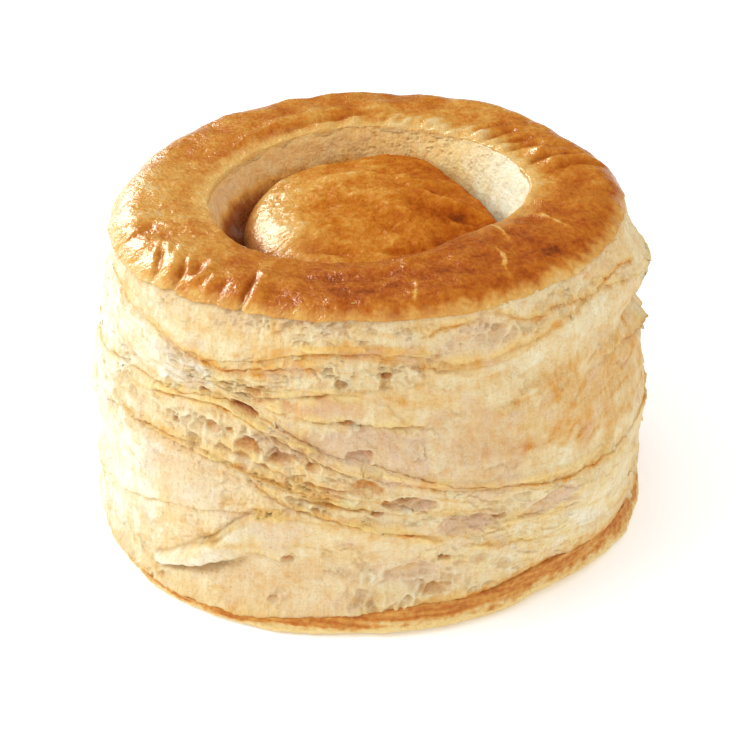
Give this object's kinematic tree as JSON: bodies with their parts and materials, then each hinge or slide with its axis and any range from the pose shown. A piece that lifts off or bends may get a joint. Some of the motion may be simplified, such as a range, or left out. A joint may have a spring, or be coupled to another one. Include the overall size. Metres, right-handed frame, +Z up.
{
  "type": "vol-au-vent",
  "caption": "Empty baked puff-pastry case with flaky pale sides, a glazed browned rim, a browned foot and a shallow round well whose floor is a browned dome.",
  "frame": {"origin": "middle of the flat underside, at the centre of the object's bounding box", "axes": "+Z up; -Y is the front, the side that the picture shows; +X is the picture's right"},
  "size_m": [0.0805, 0.0813, 0.0475],
  "materials": {
    "flaky_pastry": "matt pale cream flaky leaves, mottled with tan, their free edges golden",
    "glazed_crust": "egg-glazed golden to red-brown crust with a soft shine",
    "browned_foot": "dry browned foot and underside"
  },
  "bodies": {
    "root": {"pastry_case": "flaky_pastry"}
  },
  "joints": []
}
